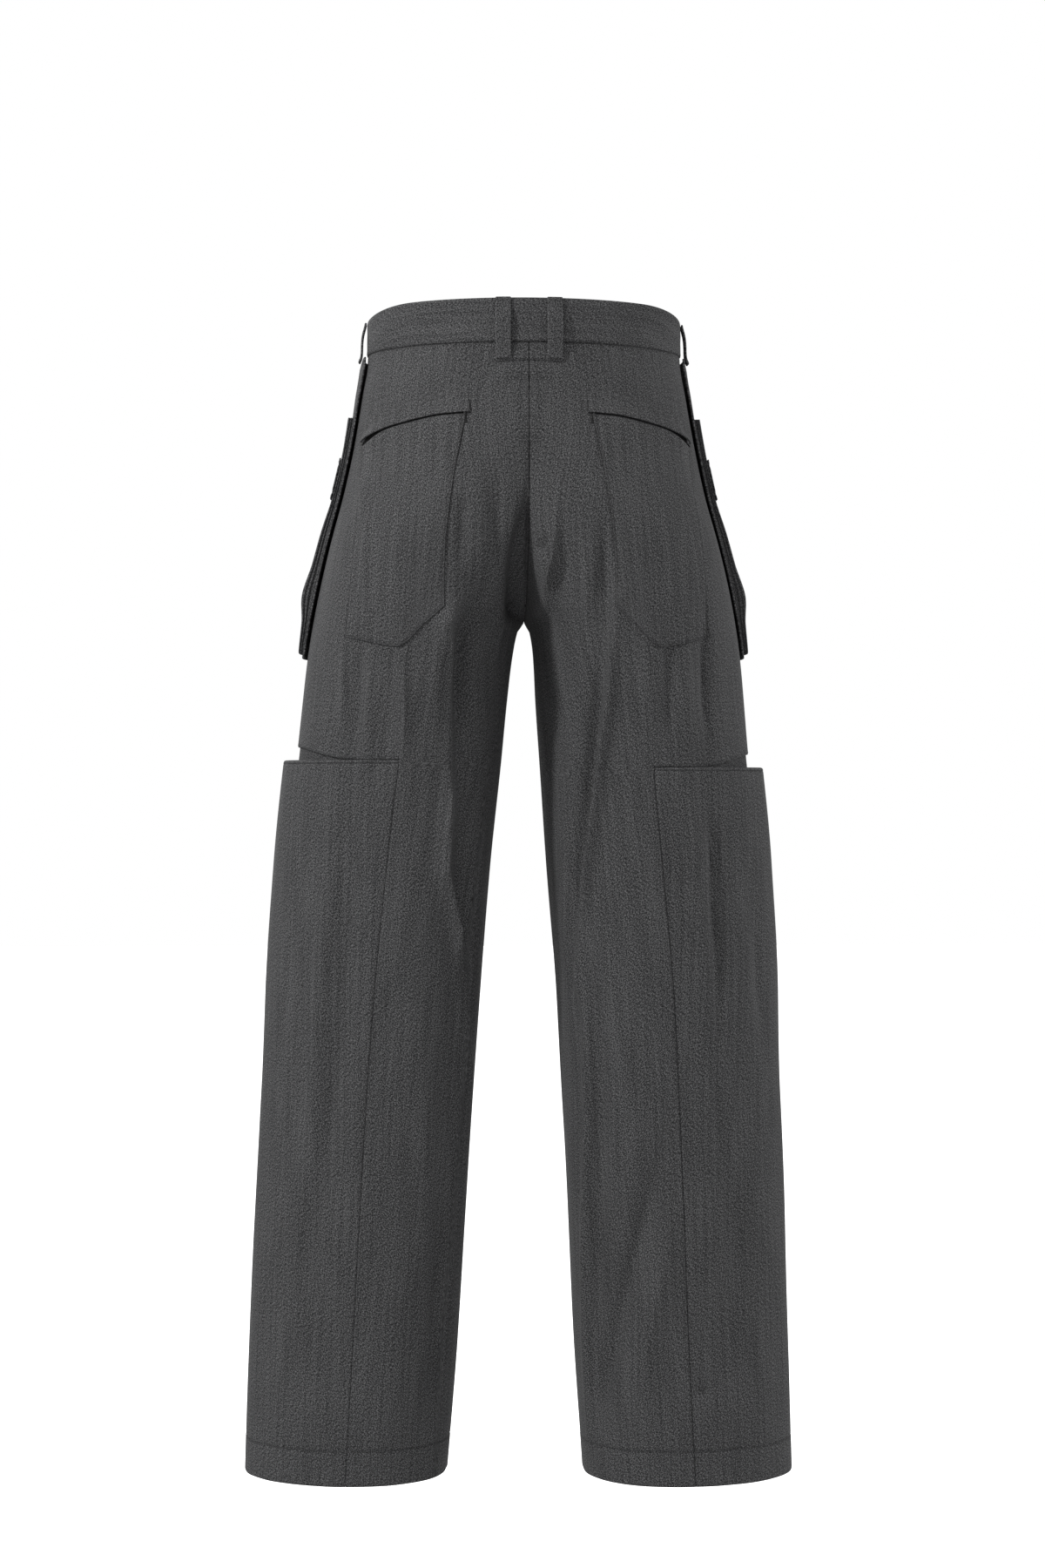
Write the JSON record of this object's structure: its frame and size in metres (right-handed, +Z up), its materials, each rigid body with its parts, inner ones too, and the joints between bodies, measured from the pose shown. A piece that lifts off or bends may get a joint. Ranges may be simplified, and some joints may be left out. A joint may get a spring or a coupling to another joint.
{
  "type": "work trousers",
  "caption": "Wide-legged work trousers, hollow and worn, with belt loops, back pockets, hanging holster pockets and deep side leg pockets.",
  "frame": {"origin": "centre of the waist opening, at half the height of the waistband at the sides", "axes": "+Z up; -Y is the front of the garment and +Y its back; +X is the wearer's left"},
  "size_m": [0.5027, 0.2452, 1.0596],
  "materials": {
    "grey_cloth": "matte melange twill",
    "pocket_cloth": "matte twill",
    "button_horn": "satin, horn-like"
  },
  "bodies": {
    "root": {"waistband": "grey_cloth", "belt_loop_back_left": "grey_cloth", "belt_loop_back_right": "grey_cloth", "belt_loop_side_left": "grey_cloth", "belt_loop_side_right": "grey_cloth", "belt_loop_front_left": "grey_cloth", "belt_loop_front_right": "grey_cloth", "fly": "grey_cloth", "waist_button": "button_horn", "back_left": "grey_cloth", "back_right": "grey_cloth", "front_left": "grey_cloth", "front_right": "grey_cloth", "side_panel_left": "grey_cloth", "side_panel_right": "grey_cloth", "side_facing_left": "pocket_cloth", "side_facing_right": "pocket_cloth", "back_pocket_left": "grey_cloth", "back_pocket_right": "grey_cloth", "holster_back_left": "grey_cloth", "holster_back_right": "grey_cloth", "holster_pouch_left": "grey_cloth", "holster_pouch_right": "grey_cloth", "holster_strip_left": "grey_cloth", "holster_strip_right": "grey_cloth"}
  },
  "joints": []
}
